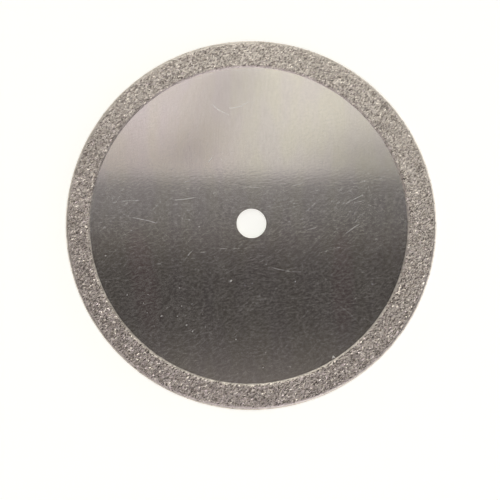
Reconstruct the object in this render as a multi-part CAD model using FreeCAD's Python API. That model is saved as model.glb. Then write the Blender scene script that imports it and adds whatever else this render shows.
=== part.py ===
import FreeCAD, Part

import os

# A thin round cutting disc for a small rotary tool. A blank of ground steel sheet has a
# punched bore at its centre. Around its rim, on both faces and over the edge, it carries
# one layer of diamond grit held in electroplated nickel, which stands proud of the steel.
# The steel is masked while the rim is plated, so the plating ends at a mask window: a
# circle on each face with its own centre, from which a bare nickel shoulder slopes up to
# the grit.
#
# The origin is at the middle of the bore, halfway through the steel. +Z is the bore's
# axis, towards the face that shows. Sizes are in millimetres.

# Driving sizes of the steel
disc_diameter = 25.0
bore_diameter = 2.0
steel_thickness = 0.30
bore_chamfer = 0.03

# Driving sizes of the plating
band_width = 1.81
face_plating = 0.12
edge_plating = 0.14
shoulder_width = 0.16
shoulder_round = 0.06
rim_round = 0.20
etch_depth = 0.02

# Where each mask lay, off the bore's axis
front_mask_x = -0.16
front_mask_y = -0.045
back_mask_x = 0.0
back_mask_y = 0.0

# Sizes that follow from those
disc_radius = disc_diameter / 2
bore_radius = bore_diameter / 2
steel_radius = disc_radius - edge_plating
steel_face = steel_thickness / 2
plated_face = steel_face + face_plating
window_radius = disc_radius - band_width
cutter_margin = 1.0

AXIS = FreeCAD.Vector(0, 0, 1)
ORIGIN = FreeCAD.Vector(0, 0, 0)


def turned(outline):
    """The solid that an outline of (distance from the axis, height) points sweeps in one turn."""
    points = [FreeCAD.Vector(across, 0, height) for across, height in outline]
    return Part.Face(Part.makePolygon(points + points[:1])).revolve(ORIGIN, AXIS, 360)


def round_bar(radius, half_length):
    """A plain cylinder about the disc's axis, as long above the mid-plane as below it."""
    return Part.makeCylinder(radius, 2 * half_length, FreeCAD.Vector(0, 0, -half_length))


def circle_edges(shape, height, radius):
    """The circles on a shape at this distance above or below the mid-plane, of this radius."""
    circles = [edge for edge in shape.Edges if isinstance(edge.Curve, Part.Circle)]
    return [
        edge for edge in circles
        if abs(abs(edge.Curve.Center.z) - height) < 1e-6 and abs(edge.Curve.Radius - radius) < 1e-6
    ]


def placed_on_face(front_tool, side):
    """A tool drawn for the front face, centred on the mask of that face (1) or of the back (-1)."""
    tool = front_tool.copy()
    if side < 0:
        tool = tool.mirror(ORIGIN, AXIS)
        tool.translate(FreeCAD.Vector(back_mask_x, back_mask_y, 0))
    else:
        tool.translate(FreeCAD.Vector(front_mask_x, front_mask_y, 0))
    return tool


def etched_zone():
    """The skin that etching takes off the front face outside the mask, so that the nickel grips."""
    reach = disc_radius + cutter_margin
    bottom = steel_face - etch_depth
    top = steel_face + cutter_margin
    return turned([(window_radius, bottom), (reach, bottom), (reach, top), (window_radius, top)])


def mask_window():
    """What the mask keeps clear of plating over the front face, with the slope of the shoulder."""
    top = plated_face + cutter_margin
    slope = shoulder_width / face_plating
    mouth_radius = window_radius + slope * (top - steel_face)
    return turned([
        (0, 0), (window_radius, 0), (window_radius, steel_face), (mouth_radius, top), (0, top),
    ])


def etched_blank():
    """The sheared steel disc before its bore, with a skin etched away where the plating will hold."""
    blank = round_bar(steel_radius, steel_face)
    return blank.cut([placed_on_face(etched_zone(), side) for side in (1, -1)])


def bore_cutter():
    """The bore, with a chamfer where it meets each face."""
    flare = bore_radius + bore_chamfer
    straight = steel_face - bore_chamfer
    outside = steel_face + cutter_margin
    return turned([
        (0, -outside), (flare, -outside), (flare, -steel_face), (bore_radius, -straight),
        (bore_radius, straight), (flare, steel_face), (flare, outside), (0, outside),
    ])


def steel_core():
    """The punched steel disc."""
    return etched_blank().cut(bore_cutter())


def plated_envelope():
    """The outside of the plated disc: flat faces, and a rim that the plating has rounded."""
    rounding = min(rim_round, 0.95 * plated_face)
    bar = round_bar(disc_radius, plated_face)
    return bar.makeFillet(rounding, circle_edges(bar, plated_face, disc_radius))


def diamond_rim():
    """The grit and its nickel: one layer that wraps the rim and ends at a window on each face."""
    windows = [placed_on_face(mask_window(), side) for side in (1, -1)]
    plating = plated_envelope().cut([etched_blank()] + windows)
    shoulder_tops = circle_edges(plating, plated_face, window_radius + shoulder_width)
    return plating.makeFillet(shoulder_round, shoulder_tops)


def only_solid(shape, name):
    """The one closed solid that a piece has to be."""
    if len(shape.Solids) != 1 or not shape.Solids[0].isValid():
        raise RuntimeError(f"{name} came out as {len(shape.Solids)} solids, or is not valid")
    return shape.Solids[0]


os.makedirs("parts", exist_ok=True)
pieces = {
    "steel_core": steel_core(),
    "diamond_rim": diamond_rim(),
}
for name, shape in pieces.items():
    solid = only_solid(shape, name)
    solid.exportStep(f"parts/{name}.step")
    print(f"{name}: {solid.Volume:.3f} mm3, {len(solid.Faces)} faces")
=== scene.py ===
import math
import random

import bmesh
import bpy
from mathutils import Matrix, Vector, noise


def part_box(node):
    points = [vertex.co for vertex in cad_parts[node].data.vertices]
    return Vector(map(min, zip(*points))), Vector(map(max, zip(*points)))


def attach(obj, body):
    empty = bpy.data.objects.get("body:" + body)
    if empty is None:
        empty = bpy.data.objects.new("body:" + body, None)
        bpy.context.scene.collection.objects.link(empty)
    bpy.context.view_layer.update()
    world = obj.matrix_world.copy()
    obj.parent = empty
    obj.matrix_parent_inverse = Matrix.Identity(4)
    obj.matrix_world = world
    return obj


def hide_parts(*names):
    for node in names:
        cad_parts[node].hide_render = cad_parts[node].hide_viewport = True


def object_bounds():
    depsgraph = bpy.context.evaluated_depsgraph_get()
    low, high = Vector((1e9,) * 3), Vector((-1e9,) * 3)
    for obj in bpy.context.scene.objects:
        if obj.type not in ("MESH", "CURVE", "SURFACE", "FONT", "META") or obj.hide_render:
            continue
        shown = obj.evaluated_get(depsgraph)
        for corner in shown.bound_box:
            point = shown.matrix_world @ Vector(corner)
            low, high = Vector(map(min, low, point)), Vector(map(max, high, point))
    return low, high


# A small diamond cutting disc that lies on its lower face, seen from above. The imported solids
# are in metres, and lengths here are written in millimetres and brought in with MM.
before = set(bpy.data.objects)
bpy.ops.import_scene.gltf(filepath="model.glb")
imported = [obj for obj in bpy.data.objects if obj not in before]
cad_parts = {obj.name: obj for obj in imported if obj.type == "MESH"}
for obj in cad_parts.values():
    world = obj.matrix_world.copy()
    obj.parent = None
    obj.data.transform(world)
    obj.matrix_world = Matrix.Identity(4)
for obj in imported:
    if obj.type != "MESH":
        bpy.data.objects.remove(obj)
cad_low, cad_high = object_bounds()
MM = 0.001


# Steel disc. A round blank sheared from bright cold-rolled sheet and ground on both faces, with
# a hole punched at its middle. It has been handled: fine hairlines run all ways across it, with
# some longer scratches on the face that shows.


class Wire:
    """The output of a shader node. Sums written on it add Math nodes."""

    def __init__(self, tree, socket=None):
        self.tree = tree
        self.socket = socket

    def node(self, kind, settings=None, inputs=None, output=0):
        """Adds a node: its settings first, then the values or wires of its inputs."""
        made = self.tree.nodes.new(kind)
        for name, value in (settings or {}).items():
            setattr(made, name, value)
        for name, value in (inputs or {}).items():
            if isinstance(value, Wire):
                self.tree.links.new(value.socket, made.inputs[name])
            else:
                made.inputs[name].default_value = value
        return Wire(self.tree, made.outputs[output] if made.outputs else None)

    def twin(self, output):
        """Another output of the same node, by its name."""
        return Wire(self.tree, self.socket.node.outputs[output])

    def math(self, operation, *others):
        """A Math node whose first input is this."""
        terms = dict(enumerate((self,) + others))
        return self.node("ShaderNodeMath", {"operation": operation}, terms)

    def __add__(self, other):
        return self.math("ADD", other)

    def __sub__(self, other):
        return self.math("SUBTRACT", other)

    def __mul__(self, other):
        return self.math("MULTIPLY", other)

    def __truediv__(self, other):
        return self.math("DIVIDE", other)

    def __rsub__(self, other):
        return self.math("MULTIPLY", -1.0) + other

    __radd__ = __add__
    __rmul__ = __mul__

    def off(self, middle):
        """How far this is from middle, either way."""
        return (self - middle).math("ABSOLUTE")

    def between(self, low, high):
        """0 below low, 1 above high and an S-curve between. With high below low it falls."""
        limits = {"Value": self, "From Min": low, "From Max": high}
        return self.node("ShaderNodeMapRange", {"interpolation_type": "SMOOTHSTEP"}, limits)

    def blend(self, low, high):
        """The colour low where this is 0, and the colour high where it is 1."""
        colours = {0: self, 6: low, 7: high}
        return self.node("ShaderNodeMix", {"data_type": "RGBA"}, colours, output=2)

    def toward(self, other, share):
        """This number where share is 0, and the other where share is 1."""
        return self + (other - self) * share

    def placed(self, middle, angle, size):
        """A position as seen by something at middle, turned by angle and as large as size."""
        seen = {"Vector": self, "Location": middle, "Rotation": (0, 0, angle), "Scale": size}
        return self.node("ShaderNodeMapping", {"vector_type": "TEXTURE"}, seen)

    def cloud(self, size, detail=0.0, angle=0.0):
        """Smooth noise from 0 to 1 at this position, in lumps of this size that lie at this angle."""
        seen = self.placed((0, 0, 0), angle, size)
        look = {"Vector": seen, "Scale": 1.0, "Detail": detail, "Roughness": 0.6}
        return self.node("ShaderNodeTexNoise", {}, look)

    def axes(self):
        """The three numbers of a position."""
        split = self.node("ShaderNodeSeparateXYZ", {}, {"Vector": self})
        return [split.twin(name) for name in ("X", "Y", "Z")]


def new_finish(name):
    """An empty material, and a wire to hang its nodes on."""
    finish = bpy.data.materials.new(name)
    finish.use_nodes = True
    finish.node_tree.nodes.clear()
    return finish, Wire(finish.node_tree)


def object_position(wire):
    """The place of the shaded point on its piece, in millimetres."""
    place = wire.node("ShaderNodeTexCoord", output="Object")
    return wire.node("ShaderNodeVectorMath", {"operation": "SCALE"}, {0: place, "Scale": 1 / MM})


def show(shader):
    """Ends a material in this shader."""
    shader.node("ShaderNodeOutputMaterial", {}, {"Surface": shader})


STEEL_STRAW = (0.722, 0.658, 0.566, 1)
STEEL_LILAC = (0.708, 0.636, 0.588, 1)
# The next colour is painted sheen, laid along the grinding lines.
STEEL_SHEEN = (0.95, 0.88, 0.80, 1)
# The next colour is painted shade, for the ring round the punched hole.
BORE_EDGE_SHADE = (0.13, 0.115, 0.10, 1)
STEEL_STAINED = (0.775, 0.625, 0.585, 1)
SCUFF_COLOUR = (0.90, 0.86, 0.80, 1)
POLISH = 0.06
SHEARED_ROUGHNESS = 0.50
BORE_RADIUS = 1.0
EDGE_RING_WIDTH = 0.04

# Faint reddish smears on the face that shows: the middle, the lean in degrees and the half size.
STAINS = (
    ((-7.2, -3.9), 10, (1.2, 4.4)),
    ((6.1, -4.0), 0, (1.0, 4.2)),
)


def smear(place, middle, lean, size):
    """A mask of one smear, strongest at its middle."""
    along, across, _ = place.placed((*middle, 0), math.radians(lean), (*size, 1)).axes()
    return (along * along + across * across).between(1.0, 0.0)


# Scratches that can be told apart: both ends, how far the middle bows to the left of the way
# from the first to the second, and how deep it is, from 0 to 1.
SCRATCHES = {
    "upper_curve": ((-1.62, 7.84), (-0.21, 8.27), -0.14, 1.0),
    "upper_nick": ((-2.78, 8.17), (-1.38, 7.31), -0.10, 0.7),
    "upper_short": ((-2.95, 4.08), (-2.58, 4.50), 0.03, 1.0),
    "upper_right": ((7.88, 5.49), (8.11, 5.88), 0.0, 0.3),
    "rim_right": ((8.55, 2.91), (9.02, 3.22), 0.0, 0.3),
    "far_right_top": ((6.92, 2.71), (7.86, 2.87), 0.0, 0.3),
    "right_top": ((2.65, 2.54), (3.66, 2.82), -0.05, 0.35),
    "over_bore": ((-0.82, 2.51), (0.79, 2.38), 0.0, 0.3),
    "left_spark": ((-4.54, 2.76), (-4.08, 2.88), 0.0, 0.4),
    "left_bright": ((-5.30, 1.55), (-3.69, 1.75), -0.03, 0.5),
    "left_faint": ((-9.08, 1.43), (-7.39, 1.52), 0.03, 0.3),
    "left_slant": ((-8.26, 0.40), (-6.15, -0.08), 0.05, 0.4),
    "left_dash": ((-6.36, -2.76), (-6.04, -2.74), 0.0, 0.3),
    "left_low_dash": ((-7.12, -3.16), (-6.72, -3.14), 0.0, 0.15),
    "row_dash": ((-3.44, -1.97), (-3.04, -1.95), 0.0, 0.3),
    "left_rise": ((-4.69, 0.19), (-4.45, 0.81), 0.0, 0.2),
    "row_start": ((-2.80, -1.70), (-2.05, -1.70), 0.0, 0.15),
    "row_first": ((-2.16, -1.71), (-1.58, -1.71), 0.0, 0.35),
    "row_second": ((-1.33, -1.72), (-0.75, -1.69), 0.0, 0.3),
    "row_third": ((-0.52, -1.68), (0.10, -1.65), 0.0, 0.2),
    "low_left": ((-4.29, -2.24), (-3.83, -1.74), 0.03, 0.25),
    "low_left_tail": ((-4.80, -2.95), (-3.90, -1.80), 0.05, 0.13),
    "under_bore": ((0.48, -2.66), (1.48, -2.12), 0.0, 0.2),
    "low_curve": ((1.10, -2.89), (3.79, -3.27), -0.14, 0.3),
    "long_faint": ((4.57, -2.00), (6.12, -1.57), 0.0, 0.2),
    "right_dash": ((3.96, -0.38), (4.54, -0.22), 0.0, 0.3),
    "right_faint_dash": ((2.42, 1.37), (2.96, 1.61), 0.0, 0.2),
    "right_bright": ((6.21, 1.22), (7.69, 2.00), 0.03, 0.45),
    "right_fall": ((6.91, 1.61), (8.46, 0.99), 0.04, 0.2),
    "right_middle": ((6.28, -0.72), (7.29, -0.02), 0.0, 0.4),
    "bottom_right": ((5.82, -5.50), (7.16, -6.68), 0.06, 0.22),
    "bottom_tip": ((7.48, -6.39), (8.01, -6.62), 0.04, 0.2),
}
SCRATCH_HALF_WIDTH = 0.038
SCRATCH_STRENGTH = 1.4


def scratch(place, start, end, bow, depth):
    """A mask of one long scratch, which fades towards both ends."""
    run = Vector(end) - Vector(start)
    middle = (Vector(start) + Vector(end)) / 2
    angle = math.atan2(run.y, run.x)
    size = (run.length / 2, SCRATCH_HALF_WIDTH, 1.0)
    along, across, _ = place.placed((middle.x, middle.y, 0), angle, size).axes()
    arc = (1 - along * along).math("MAXIMUM", 0.0)
    core = (1 - across.off(arc * (bow / SCRATCH_HALF_WIDTH))).math("MAXIMUM", 0.0)
    return core * arc.between(0.0, 0.6) * depth


# Hairlines are short and straight, and lie in loose families: the angle each family runs at in
# degrees, then the length and width of its longest hairlines.
HAIRLINES = (
    (48, 2.0, 0.060),
    (58, 1.2, 0.060),
    (30, 1.5, 0.060),
    (15, 1.2, 0.060),
    (3, 1.6, 0.060),
    (-5, 0.8, 0.070),
    (-40, 1.2, 0.060),
    (44, 3.6, 0.055),
)
HAIRLINE_REACH = 0.16
HAIRLINE_CORE = 0.04
HAIRLINES_LEFT_OUT = 0.45


def hairlines(place, angle, length, width):
    """A mask of one family of hairlines, one to each cell of a stretched scatter."""
    cell = (length / (2 * HAIRLINE_REACH), width / (2 * HAIRLINE_REACH), 1.0)
    own_start = (0.3 * angle, 1.7, 0)
    look = {"Vector": place.placed(own_start, math.radians(angle), cell), "Scale": 1.0}
    apart = place.node("ShaderNodeTexVoronoi", {"voronoi_dimensions": "2D"}, look)
    chance = apart.twin("Color").axes()[0]
    return apart.between(HAIRLINE_REACH, HAIRLINE_CORE) * chance.between(HAIRLINES_LEFT_OUT, 1.0)


steel_finish, wire = new_finish("ground_steel")
place = object_position(wire)
x, y, z = place.axes()
front_face = z.between(0.10, 0.14)

# Each face has marks of its own: those of the front are read this far to the right.
FACES_APART = 40
own_face = wire.node("ShaderNodeCombineXYZ", {}, {"X": x + FACES_APART * front_face, "Y": y})

hair = hairlines(own_face, *HAIRLINES[0])
for family in HAIRLINES[1:]:
    hair = hair.math("MAXIMUM", hairlines(own_face, *family))
wear = own_face.cloud((2.5, 2.5, 1), detail=2.0)
pits = own_face.cloud((0.25, 0.13, 1), detail=0.5, angle=math.radians(12))
streaks = own_face.cloud((0.50, 0.10, 1), detail=0.5, angle=math.radians(42))
cuts = sum(scratch(place, *path) for path in SCRATCHES.values())

# How much of the ground face is scuffed, most of all in a strip across the middle.
HAIR_DEPTH = 0.17
PIT_DEPTH = 0.21
STREAK_DEPTH = 0.07
worn_strip = y.off(1.0).between(3.2, 0.8)
marked = HAIR_DEPTH * hair * (0.4 + 1.2 * wear) + PIT_DEPTH * pits.between(0.20, 0.90)
marked = marked + STREAK_DEPTH * streaks.between(0.40, 0.90)
marked = marked * (1.05 + 0.5 * worn_strip)
marked = (marked + SCRATCH_STRENGTH * cuts * front_face).math("MINIMUM", 1.0)

# The torn edge of the punched hole: a thin rougher ring with painted shade on it, which is
# mostly left off on the near lower-left side, where the edge is painted as lit.
across = (x * x + y * y).math("SQRT")
painted_lit_side = (y + 0.5 * x).between(-0.6, -1.0)
sheared_and_shaded = across.between(BORE_RADIUS + EDGE_RING_WIDTH, BORE_RADIUS + 0.8 * EDGE_RING_WIDTH)
sheared_and_shaded = sheared_and_shaded * (1 - 0.8 * painted_lit_side)

# The colour, with a painted sheen along the lines that the grinding left, and what has stained
# it since.
BRUSH_SHEEN_SHARE = 0.15
BRUSH_DEPTH = 0.0003
sheen = own_face.cloud((1.5, 5.0, 1), detail=1.0)
grinding_lines_and_sheen = own_face.cloud((0.075, 0.9, 1), detail=1.0)
stain = sum(smear(place, *spot) for spot in STAINS) * front_face
colour = sheen.between(0.35, 0.65).blend(STEEL_LILAC, STEEL_STRAW)
# Painted sheen: the steel's colour is paler along the grinding lines.
colour = (BRUSH_SHEEN_SHARE * grinding_lines_and_sheen.between(0.3, 0.7)).blend(colour, STEEL_SHEEN)
colour = stain.blend(colour, STEEL_STAINED)
# Painted shade: the ring round the hole is darkened, less so on the near lower-left side.
colour = sheared_and_shaded.blend(colour, BORE_EDGE_SHADE)

brush_lines = {"Strength": 1.0, "Distance": BRUSH_DEPTH * MM, "Height": grinding_lines_and_sheen + 1.2 * pits}
polished = wire.node("ShaderNodeBsdfPrincipled", {}, {
    "Base Color": colour,
    "Metallic": 1.0,
    "Roughness": POLISH + (SHEARED_ROUGHNESS - POLISH) * sheared_and_shaded,
    "Normal": wire.node("ShaderNodeBump", {}, brush_lines),
})
scuffed = wire.node("ShaderNodeBsdfPrincipled", {}, {
    "Base Color": SCUFF_COLOUR,
    "Metallic": 0.5,
    "Roughness": 0.22,
})
show(wire.node("ShaderNodeMixShader", {}, {0: marked, 1: polished, 2: scuffed}))
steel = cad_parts["steel_core"]
steel.data.materials.clear()
steel.data.materials.append(steel_finish)


# Nickel bond. The layer of nickel that was plated round the rim to hold the grit, with a smooth
# shoulder where it met the mask and a rounded bead at the edge. The front mask lay a little to
# one side, so the band is wider on the right than on the left.
STEEL_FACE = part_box("steel_core")[1].z / MM
DISC_RADIUS = cad_high.x / MM
TIP_HEIGHT = cad_high.z / MM
BAND_WIDTH = 1.81
WINDOW_RADIUS = DISC_RADIUS - BAND_WIDTH
FRONT_MASK = Vector((-0.16, -0.05, 0))
MASKED_FROM = DISC_RADIUS - 0.3
MASKED_TO = DISC_RADIUS - 1.5
SHOULDER_WIDTH = 0.13
SHOULDER_ROUND = 0.10
BOND_HEIGHT = 0.205
BEAD_RADIUS = DISC_RADIUS - 0.005
BEAD_ROUND = 0.20
BURIED = 0.03
SECTORS = 30
SECTOR_STEPS = 30
ROW = 0.075


def bond_section():
    """The cut through the bond on one side of the disc, as a ring of edges with rounded corners."""
    section = bmesh.new()
    crest = WINDOW_RADIUS + SHOULDER_WIDTH
    slope = (BOND_HEIGHT - STEEL_FACE) / SHOULDER_WIDTH
    foot = WINDOW_RADIUS - BURIED
    inside = STEEL_FACE - 2 * BURIED
    half = [
        (foot, STEEL_FACE - slope * BURIED, 0),
        (WINDOW_RADIUS, STEEL_FACE, 0),
        (crest, BOND_HEIGHT, SHOULDER_ROUND),
        (BEAD_RADIUS, BOND_HEIGHT, BEAD_ROUND),
    ]
    lower = [(across, -height, rounding) for across, height, rounding in reversed(half)]
    hidden = [(foot + 2 * BURIED, -inside, 0), (foot + 2 * BURIED, inside, 0)]
    corners = half + lower + hidden
    verts = [section.verts.new((across, 0, height)) for across, height, _ in corners]
    section.faces.new(verts)
    for size in sorted({rounding for _, _, rounding in corners if rounding}):
        rounded = [vert for vert, corner in zip(verts, corners) if corner[2] == size]
        bmesh.ops.bevel(
            section, geom=rounded, offset=size, offset_type="OFFSET", affect="VERTICES",
            segments=5, profile=0.5, material=-1,
        )
    bmesh.ops.delete(section, geom=section.faces[:], context="FACES_ONLY")
    for edge in section.edges[:]:
        pieces = round(edge.calc_length() / ROW)
        flat = edge.verts[0].co.z > 0 or edge.verts[1].co.z < 0
        if pieces > 1 and flat:
            bmesh.ops.subdivide_edges(section, edges=[edge], cuts=pieces - 1)
    return section


def fade(value, low, high):
    """0 below low, 1 above high and an S-curve between. With high below low it falls."""
    share = min(1.0, max(0.0, (value - low) / (high - low)))
    return share * share * (3 - 2 * share)


bond = bond_section()
sector = 2 * math.pi / SECTORS
bmesh.ops.spin(
    bond, geom=bond.verts[:] + bond.edges[:], cent=(0, 0, 0), axis=(0, 0, 1), dvec=(0, 0, 0),
    angle=sector, steps=SECTOR_STEPS, use_merge=False, use_duplicate=False,
)
bmesh.ops.spin(
    bond, geom=bond.verts[:] + bond.edges[:] + bond.faces[:], cent=(0, 0, 0), axis=(0, 0, 1),
    dvec=(0, 0, 0), angle=sector * (SECTORS - 1), steps=SECTORS - 1, use_merge=False,
    use_duplicate=True,
)
bmesh.ops.remove_doubles(bond, verts=bond.verts[:], dist=0.0005)
bmesh.ops.recalc_face_normals(bond, faces=bond.faces[:])
bond.normal_update()

# The nickel is lumpy over the grit, smooth on the shoulder and smoother on the bead.
LUMP_SIZE = 0.085
LUMP_HEIGHT = 0.009
LUMPS_FROM = WINDOW_RADIUS + 0.06
LUMPS_TO = WINDOW_RADIUS + 0.22
BEAD_FROM = DISC_RADIUS - 0.20
BEAD_TO = DISC_RADIUS - 0.08
for vert in bond.verts:
    across = math.hypot(vert.co.x, vert.co.y)
    lumpy = fade(across, LUMPS_FROM, LUMPS_TO) * (1 - 0.7 * fade(across, BEAD_FROM, BEAD_TO))
    if abs(vert.co.z) > STEEL_FACE - BURIED or across > BEAD_FROM:
        lump = noise.noise(vert.co / LUMP_SIZE) + 0.5 * noise.noise(vert.co / LUMP_SIZE * 2.3)
        vert.co += vert.normal * (LUMP_HEIGHT * lumpy * lump)
    if vert.co.z > 0:
        vert.co += FRONT_MASK * fade(across, MASKED_FROM, MASKED_TO)
bmesh.ops.scale(bond, vec=(MM, MM, MM), verts=bond.verts[:])


def new_piece(name, mesh_source, finish, smooth=True):
    """A piece of the object from a bmesh in metres. It moves with the one body."""
    mesh = bpy.data.meshes.new(name)
    mesh_source.to_mesh(mesh)
    mesh_source.free()
    mesh.materials.append(finish)
    mesh.polygons.foreach_set("use_smooth", [smooth] * len(mesh.polygons))
    piece = bpy.data.objects.new(name, mesh)
    bpy.context.scene.collection.objects.link(piece)
    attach(piece, "root")
    return piece


NICKEL_LIGHT = (0.85, 0.77, 0.705, 1)
NICKEL_DARK = (0.64, 0.573, 0.517, 1)
FROSTING_DEPTH = 0.022
GRAIN_SLANT = math.radians(38)
nickel_finish, wire = new_finish("plated_nickel")
place = object_position(wire)
mottle = place.cloud((0.5, 0.5, 0.5), detail=2.0)
frosting = place.cloud((0.16, 0.05, 0.08), detail=1.0, angle=GRAIN_SLANT)
frosted = {"Strength": 1.0, "Distance": FROSTING_DEPTH * MM, "Height": frosting}
show(wire.node("ShaderNodeBsdfPrincipled", {}, {
    "Base Color": mottle.between(0.3, 0.7).blend(NICKEL_DARK, NICKEL_LIGHT),
    "Metallic": 1.0,
    "Roughness": 0.22 + 0.14 * mottle,
    "Normal": wire.node("ShaderNodeBump", {}, frosted),
}))
nickel_bond = new_piece("nickel_bond", bond, nickel_finish)
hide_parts("diamond_rim")


# Diamond grit. One layer of crystals about 0.1 mm across, sown over both faces of the rim and
# round its edge, and held by nickel to a little over half their height. They were crushed from
# larger stones, so their faces are flat. Most slant the same way. Towards the far side their
# tones are painted more even, as the light falls more evenly on them there, and they are rougher.
GRAIN_SIZE = 0.108
GRAIN_SPREAD = 0.20
GRAIN_STEP = 0.118
GRAIN_STRETCH = (1.6, 0.62, 1, 1)
SLANT_SPREAD = 0.35
MOST_LEAN = 0.65
KINDS = 28
dice = random.Random(7)


def random_way(dice):
    """A direction with no preference."""
    height = dice.uniform(-1, 1)
    turn = dice.uniform(0, 2 * math.pi)
    flat = math.sqrt(1 - height * height)
    return Vector((flat * math.cos(turn), flat * math.sin(turn), height))


def crushed_crystal(dice):
    """A closed crystal about 1 across: a block with its corners broken off by flat cleavages."""
    crystal = bmesh.new()
    bmesh.ops.create_cube(crystal, size=0.9)
    for _ in range(dice.randint(2, 4)):
        facing = random_way(dice)
        whole = crystal.verts[:] + crystal.edges[:] + crystal.faces[:]
        cut = bmesh.ops.bisect_plane(
            crystal, geom=whole, plane_co=facing * dice.uniform(0.36, 0.50), plane_no=facing,
            clear_outer=True,
        )
        rim = [part for part in cut["geom_cut"] if isinstance(part, bmesh.types.BMEdge)]
        bmesh.ops.contextual_create(crystal, geom=rim)
    bmesh.ops.remove_doubles(crystal, verts=crystal.verts[:], dist=0.06)
    bmesh.ops.recalc_face_normals(crystal, faces=crystal.faces[:])
    bmesh.ops.triangulate(crystal, faces=crystal.faces[:])
    return crystal


crystal_kinds = []
for kind in range(KINDS):
    source = crushed_crystal(dice)
    kind_mesh = bpy.data.meshes.new(f"crystal_{kind}")
    source.to_mesh(kind_mesh)
    source.free()
    crystal_kinds.append(kind_mesh)


def sow(grit, tones, spot, facing, size, dice):
    """Adds one crystal whose tip just reaches spot, where the surface faces this way."""
    leaning = facing + random_way(dice) * MOST_LEAN * dice.random() ** 2
    stand = Vector((0, 0, 1)).rotation_difference(leaning).to_matrix().to_4x4()
    slant = Matrix.Rotation(dice.gauss(GRAIN_SLANT, SLANT_SPREAD), 4, "Z")
    turn = stand @ slant @ Matrix.Diagonal(GRAIN_STRETCH)
    mesh = dice.choice(crystal_kinds).copy()
    tip = max((turn @ vert.co).dot(facing) for vert in mesh.vertices)
    middle = spot - facing * (size * tip)
    mesh.transform(Matrix.Translation(middle * MM) @ Matrix.Scale(size * MM, 4) @ turn)
    grit.from_mesh(mesh)
    tones.extend([dice.random()] * len(mesh.vertices))
    bpy.data.meshes.remove(mesh)


EDGE_ROUND = 0.20
EDGE_CENTRE = DISC_RADIUS - EDGE_ROUND
HALF_WALL = TIP_HEIGHT - EDGE_ROUND
BEND = EDGE_ROUND * math.pi / 2


def rim_point(reach):
    """The distance from the axis, height and lean of the rim's outside, this far round it.

    The reach is measured from halfway up the side wall, over the rounded edge and inwards along
    the face. It is negative on the back. The lean is 0 on the faces and a right angle on the wall.
    """
    side = math.copysign(1, reach)
    past_wall = abs(reach) - HALF_WALL
    if past_wall < 0:
        return DISC_RADIUS, reach, math.pi / 2
    if past_wall < BEND:
        lean = math.pi / 2 - past_wall / EDGE_ROUND
        height = side * (HALF_WALL + EDGE_ROUND * math.cos(lean))
        return EDGE_CENTRE + EDGE_ROUND * math.sin(lean), height, lean
    return EDGE_CENTRE - (past_wall - BEND), side * TIP_HEIGHT, 0.0


def rim_grit(start, end, mask, sunk, dice):
    """Rows of crystals round the rim from one reach to another, set over as the mask was."""
    grit = bmesh.new()
    tones = []
    rows = round((end - start) / GRAIN_STEP)
    for row in range(rows):
        row_reach = start + (row + 0.5) * (end - start) / rows
        count = round(2 * math.pi * rim_point(row_reach)[0] / GRAIN_STEP)
        for i in range(count):
            across, height, lean = rim_point(row_reach + GRAIN_STEP * dice.uniform(-0.45, 0.45))
            turn = 2 * math.pi * (i + 0.5 * (row % 2) + dice.uniform(-0.4, 0.4)) / count
            outward = Vector((math.cos(turn), math.sin(turn), 0))
            up = Vector((0, 0, math.copysign(math.cos(lean), height)))
            facing = outward * math.sin(lean) + up
            tip = outward * across + Vector((0, 0, height)) - facing * dice.uniform(*sunk)
            tip += mask * fade(across, MASKED_FROM, MASKED_TO)
            size = GRAIN_SIZE * dice.uniform(1 - GRAIN_SPREAD, 1 + GRAIN_SPREAD)
            sow(grit, tones, tip, facing, size, dice)
    return grit, tones


GRIT_DARK = (0.29, 0.25, 0.217, 1)
GRIT_PALE = (0.97, 0.885, 0.815, 1)
grit_finish, wire = new_finish("diamond_grit")
place = object_position(wire)
tone = wire.node("ShaderNodeAttribute", {"attribute_name": "tone"}, output="Fac")
cloudy = place.cloud((0.05, 0.05, 0.05), detail=1.0)
# Painted light: towards the far side the grit's tones are pulled together, standing in for more even
# light there.
far_side_evened = place.axes()[1].between(-9, 8)
paleness = 0.5 + (0.9 * tone + 0.4 * cloudy - 0.65) * (1.0 - 0.15 * far_side_evened)
paleness = paleness.math("MAXIMUM", 0.0).math("MINIMUM", 1.0)
show(wire.node("ShaderNodeBsdfPrincipled", {}, {
    "Base Color": paleness.blend(GRIT_DARK, GRIT_PALE),
    "Metallic": 0.9,
    "Roughness": 0.10 + 0.14 * cloudy + 0.10 * far_side_evened,
    "IOR": 2.0,
}))

# Where the rows of each piece start and end, and how far below the rim's outside the tips lie.
CLEAR_OF_BEND = 0.03
WALL_END = HALF_WALL + 0.20 * BEND
FACE_START = HALF_WALL + BEND + CLEAR_OF_BEND
FACE_END = FACE_START + EDGE_CENTRE - WINDOW_RADIUS - SHOULDER_WIDTH
FACE_SUNK = (0.0, 0.035)
EDGE_SUNK = (0.02, 0.06)
for name, start, end, mask, sunk in (
    ("front_grit", FACE_START, FACE_END, FRONT_MASK, FACE_SUNK),
    ("edge_grit", -WALL_END, WALL_END, Vector(), EDGE_SUNK),
    ("back_grit", -FACE_END, -FACE_START, Vector(), FACE_SUNK),
):
    grit, tones = rim_grit(start, end, mask, sunk, dice)
    piece = new_piece(name, grit, grit_finish, smooth=False)
    piece.data.attributes.new("tone", "FLOAT", "POINT").data.foreach_set("value", tones)


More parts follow.
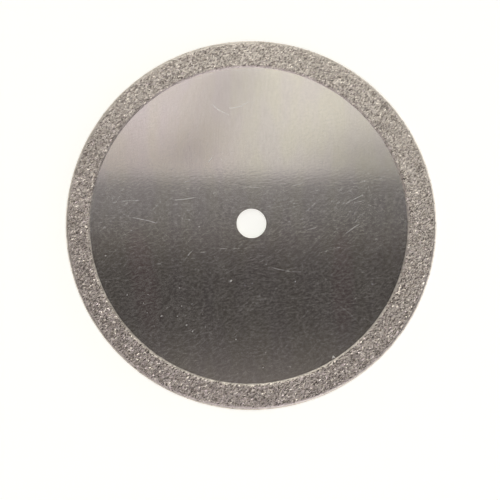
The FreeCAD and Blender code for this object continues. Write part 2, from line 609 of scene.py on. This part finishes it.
# Nickel nodule. A burr of plating that crept under the edge of the mask and stands on the steel
# beside the shoulder, near the bottom of the band.
NODULE_AT = (5.47, -8.98)
NODULE_RADIUS = 0.17
NODULE_HEIGHT = 0.09
NODULE_ROUND = 0.02
NODULE_TURN = math.radians(15)
CRUMB_COLOUR = (0.88, 0.84, 0.79, 1)
nodule = bmesh.new()
bmesh.ops.create_cone(
    nodule, segments=3, radius1=NODULE_RADIUS, radius2=0.3 * NODULE_RADIUS, depth=NODULE_HEIGHT,
    cap_ends=True,
)
bmesh.ops.bevel(
    nodule, geom=nodule.edges[:], offset=NODULE_ROUND, offset_type="OFFSET", affect="EDGES",
    segments=2, profile=0.5, material=-1,
)
nodule_place = Vector((*NODULE_AT, STEEL_FACE + 0.4 * NODULE_HEIGHT))
nodule_turn = Matrix.Rotation(NODULE_TURN, 4, "Z") @ Matrix.Diagonal((1.0, 0.8, 1.0, 1.0))
bmesh.ops.transform(
    nodule, matrix=Matrix.Scale(MM, 4) @ Matrix.Translation(nodule_place) @ nodule_turn,
    verts=nodule.verts[:],
)
pale_finish, wire = new_finish("pale_crumb")
show(wire.node("ShaderNodeBsdfPrincipled", {}, {
    "Base Color": CRUMB_COLOUR,
    "Metallic": 0.25,
    "Roughness": 0.45,
}))
new_piece("nickel_nodule", nodule, pale_finish)


# Stray grit. Crumbs of broken crystal that have lodged in the ground steel, most of them in the
# lower left. The large ones are where the photo shows them, largest first.
LARGE_CRUMBS = (
    (-1.38, -3.89), (-6.02, -6.24), (-4.34, -6.85), (-3.93, -7.25), (-9.78, -2.21), (0.77, -9.67),
    (-8.31, -4.83), (-1.04, -7.79), (8.10, -4.09), (-4.67, -5.57), (-4.81, -4.36), (-7.23, -5.37),
)
LARGEST_CRUMB = 0.090
NEXT_CRUMB = 0.90
SMALL_CRUMBS = 22
SMALL_SIZES = (0.018, 0.034)
CRUMB_STAND = 0.7
STREWN_TO = 10.1
STREWN_WAY = math.radians(-125)
STREWN_SPREAD = math.radians(60)
UP = Vector((0, 0, 1))
crumbs = bmesh.new()
tones = []
for i, (x, y) in enumerate(LARGE_CRUMBS):
    size = LARGEST_CRUMB * NEXT_CRUMB ** i
    sow(crumbs, tones, Vector((x, y, STEEL_FACE + CRUMB_STAND * size)), UP, size, dice)
for _ in range(SMALL_CRUMBS):
    across = STREWN_TO * math.sqrt(dice.random())
    turn = dice.gauss(STREWN_WAY, STREWN_SPREAD)
    size = dice.uniform(*SMALL_SIZES)
    tip = Vector((across * math.cos(turn), across * math.sin(turn), STEEL_FACE + CRUMB_STAND * size))
    sow(crumbs, tones, tip, UP, size, dice)
new_piece("stray_grit", crumbs, pale_finish, smooth=False)


# Floor. A white table top just under the grit that the disc lies on. It is white to the camera
# and to reflections, and keeps the soft shadow of the disc.
FLOOR_SIZE = 900
FLOOR_GAP = 0.002
FLOOR_MATT = (0.80, 0.80, 0.765, 1)
FLOOR_WHITE = (1.0, 1.0, 0.955, 1)
FLOOR_GLOW = 0.62
floor_mesh = bmesh.new()
bmesh.ops.create_grid(floor_mesh, x_segments=1, y_segments=1, size=FLOOR_SIZE / 2 * MM)
bmesh.ops.translate(floor_mesh, verts=floor_mesh.verts[:], vec=(0, 0, cad_low.z - FLOOR_GAP * MM))
floor_data = bpy.data.meshes.new("floor")
floor_mesh.to_mesh(floor_data)
floor_mesh.free()
floor = bpy.data.objects.new("floor", floor_data)
bpy.context.scene.collection.objects.link(floor)

floor_finish, wire = new_finish("white_table")
ray = wire.node("ShaderNodeLightPath")
seen = ray
for kind in ("Is Glossy Ray", "Is Transmission Ray"):
    seen = seen.math("MAXIMUM", ray.twin(kind))
matt = wire.node("ShaderNodeBsdfDiffuse", {}, {"Color": FLOOR_MATT})
glow = wire.node("ShaderNodeEmission", {}, {"Color": FLOOR_WHITE, "Strength": FLOOR_GLOW * seen})
show(wire.node("ShaderNodeAddShader", {}, {0: matt, 1: glow}))
floor_data.materials.append(floor_finish)


# Light. A pale room seen from a table: a window behind the disc, a dark patch overhead where the
# camera stands in the way, walls of middling brightness all round and a light band at the height
# of the table. One soft lamp stands in front, a little to the right.
world = bpy.data.worlds.new("pale_room")
bpy.context.scene.world = world
world.use_nodes = True
world.node_tree.nodes.clear()
wire = Wire(world.node_tree)
way = wire.node("ShaderNodeTexCoord", output="Generated")
east, north, rise = way.axes()
flank = east.off(0.0)

# How far a direction leans sideways and ahead for each unit that it rises. The steel mirrors
# leans of -0.13 to 0.16 sideways and -0.05 to 0.24 ahead to the camera.
steep = rise.math("MAXIMUM", 0.02)
sideways = east / steep
ahead = north / steep

# The window: brighter up one bar, with a lilac shade that leans across it on the left, dimmer low
# down at both sides, and with open sky over what the steel mirrors.
WINDOW_GLOW = 0.785
BAR_GLOW = 0.115
SKY_GLOW = 1.1
window_bar = sideways.off(0.070).between(0.07, 0)
lilac_shade = sideways.off(0.5 * ahead - 0.12).between(0.045, 0) * ahead.between(0.140, 0.160)
dim_side = 0.08 + 0.35 * sideways.between(0.02, 0.13) + 0.20 * sideways.between(-0.03, -0.10)
window = WINDOW_GLOW + BAR_GLOW * window_bar
window = window - lilac_shade * (0.16 + 0.10 * ahead.between(0.20, 0.16))
window = window * (1 - dim_side * ahead.between(0.205, 0.150))
window = window + SKY_GLOW * ahead.between(0.235, 0.28) * ahead.between(0.80, 0.50)
in_window = ahead.between(0.129, 0.152) * ahead.between(0.85, 0.55)
in_window = in_window * sideways.off(0.0).between(0.40, 0.20)

# The dark patch, a little lighter towards the window and paler towards the near side.
PATCH_GLOW = 0.056
NEAR_WINDOW_GLOW = 0.153
NEAR_SIDE_GLOW = 0.42
clouds = way.cloud((0.22, 0.22, 0.22), detail=1.0)
clutter = clouds.between(0.42, 0.58)
near_window = ahead.between(0.045, 0.135) * (1 - 0.3 * sideways.between(0.02, 0.13))
patch = PATCH_GLOW + NEAR_WINDOW_GLOW * near_window + NEAR_SIDE_GLOW * ahead.between(0.02, -0.18)
patch = patch + (clutter - 0.50) * ahead.between(-0.14, -0.30)

# The walls, broken up by what stands against them: small panes on the near side, a bright wall
# on the far side, and both flanks dimmer, but paler again low down.
WALL_GLOW = 0.05
NEAR_WALL_GLOW = 0.24
PANES_GLOW = 1.7
FAR_WALL_GLOW = 0.90
LOW_FLANK_GLOW = 0.30
panes = clouds.between(0.52, 0.60) * north.between(-0.10, -0.30) * north.between(-0.85, -0.60)
far_wall = north.between(0.0, 0.45) * (1 - 0.8 * north.between(0.50, 0.75))
walls = (WALL_GLOW + NEAR_WALL_GLOW * north.between(0.0, -0.5)) * (0.05 + 1.9 * clutter)
walls = walls + PANES_GLOW * panes * flank.between(0.55, 0.25)
walls = walls + FAR_WALL_GLOW * far_wall * (0.6 + 0.8 * clutter)
walls = walls * (1 - 0.55 * flank.between(0.1, 0.5))
walls = walls + LOW_FLANK_GLOW * flank.between(0.68, 0.88)

# The light band at the height of the table, brightest in the far right.
HORIZON_GLOW = 1.10
HORIZON_DIMMED = 0.32
HORIZON_LIT = 0.85
horizon = HORIZON_GLOW - HORIZON_DIMMED * (east + 0.3 * north).between(0.0, -0.8)
horizon = horizon + HORIZON_LIT * (east + 0.9 * north).between(0.0, 1.0)

# The room put together, outwards from the dark patch.
from_patch = (sideways * sideways + ahead.off(0.05) * ahead.off(0.05)).math("SQRT")
room = patch.toward(walls, from_patch.between(0.28, 0.80))
room = room.toward(window, in_window)
room = room.toward(horizon, rise.between(0.42, 0.12))

# The colour of that light. Each line lays one more tint over a part of the room.
WINDOW_RIGHT = (0.99, 1.0, 0.975, 1)
WINDOW_LEFT = (1.05, 1.0, 1.02, 1)
WINDOW_LEFT_TOP = (1.045, 1.0, 1.065, 1)
OPEN_SKY = (1.0, 1.0, 0.92, 1)
WINDOW_SILL = (1.0, 1.0, 1.05, 1)
DARK_PATCH = (1.055, 1.0, 1.0, 1)
RIGHT_WALLS = (1.05, 1.0, 1.04, 1)
LEFT_WALLS = (1.07, 1.0, 0.97, 1)
NEAR_RIGHT = (1.09, 1.0, 1.11, 1)
LIGHT_BAND = (0.97, 1.0, 0.98, 1)
window_left = ahead.between(0.175, 0.205).blend(WINDOW_LEFT, WINDOW_LEFT_TOP)
wall_tint = east.between(-0.1, -0.5).blend(RIGHT_WALLS, LEFT_WALLS)
on_walls = from_patch.between(0.25, 0.5) * north.between(0.4, 0.1)
on_near_right = north.between(0.0, -0.3) * east.between(-0.4, 0.0)
tint = sideways.between(0.03, -0.03).blend(WINDOW_RIGHT, window_left)
tint = ahead.between(0.24, 0.30).blend(tint, OPEN_SKY)
tint = ahead.between(0.152, 0.136).blend(tint, WINDOW_SILL)
tint = ahead.between(0.11, 0.08).blend(tint, DARK_PATCH)
tint = on_walls.blend(tint, wall_tint)
tint = on_near_right.blend(tint, NEAR_RIGHT)
tint = rise.between(0.60, 0.30).blend(tint, LIGHT_BAND)
sky = wire.node("ShaderNodeBackground", {}, {"Color": tint, "Strength": room})
wire.node("ShaderNodeOutputWorld", {}, {"Surface": sky})

LAMP_AZIMUTH = math.radians(-62)
LAMP_RISE = math.radians(32)
LAMP_AWAY = 260
LAMP_SIZE = 110
LAMP_POWER = 0.05
lamp_data = bpy.data.lights.new("soft_lamp", "AREA")
lamp_data.shape = "SQUARE"
lamp_data.size = LAMP_SIZE * MM
lamp_data.energy = LAMP_POWER
lamp = bpy.data.objects.new("soft_lamp", lamp_data)
lamp.location = MM * LAMP_AWAY * Vector((
    math.cos(LAMP_AZIMUTH) * math.cos(LAMP_RISE),
    math.sin(LAMP_AZIMUTH) * math.cos(LAMP_RISE),
    math.sin(LAMP_RISE),
))
lamp.rotation_euler = lamp.location.to_track_quat("Z", "Y").to_euler()
bpy.context.scene.collection.objects.link(lamp)


# Camera. It looks almost straight down from 75 mm above the disc, from a little towards the near
# side, and holds the far side of the disc upwards in the picture.
CAMERA_AT = Vector((-1.31, -7.29, 74.53))
CAMERA_AIM = Vector((-0.10, -1.80, 0))
camera_data = bpy.data.cameras.new("camera")
camera_data.sensor_width = 36
camera_data.lens = 80
camera_data.clip_start = 1 * MM
camera_data.clip_end = 10
camera = bpy.data.objects.new("camera", camera_data)
behind = (CAMERA_AT - CAMERA_AIM).normalized()
right = Vector((0, 1, 0)).cross(behind).normalized()
axes = Matrix((right, behind.cross(right), behind)).transposed().to_4x4()
camera.matrix_world = Matrix.Translation(CAMERA_AT * MM) @ axes
bpy.context.scene.collection.objects.link(camera)
bpy.context.scene.camera = camera
bpy.context.scene.view_settings.view_transform = "Standard"
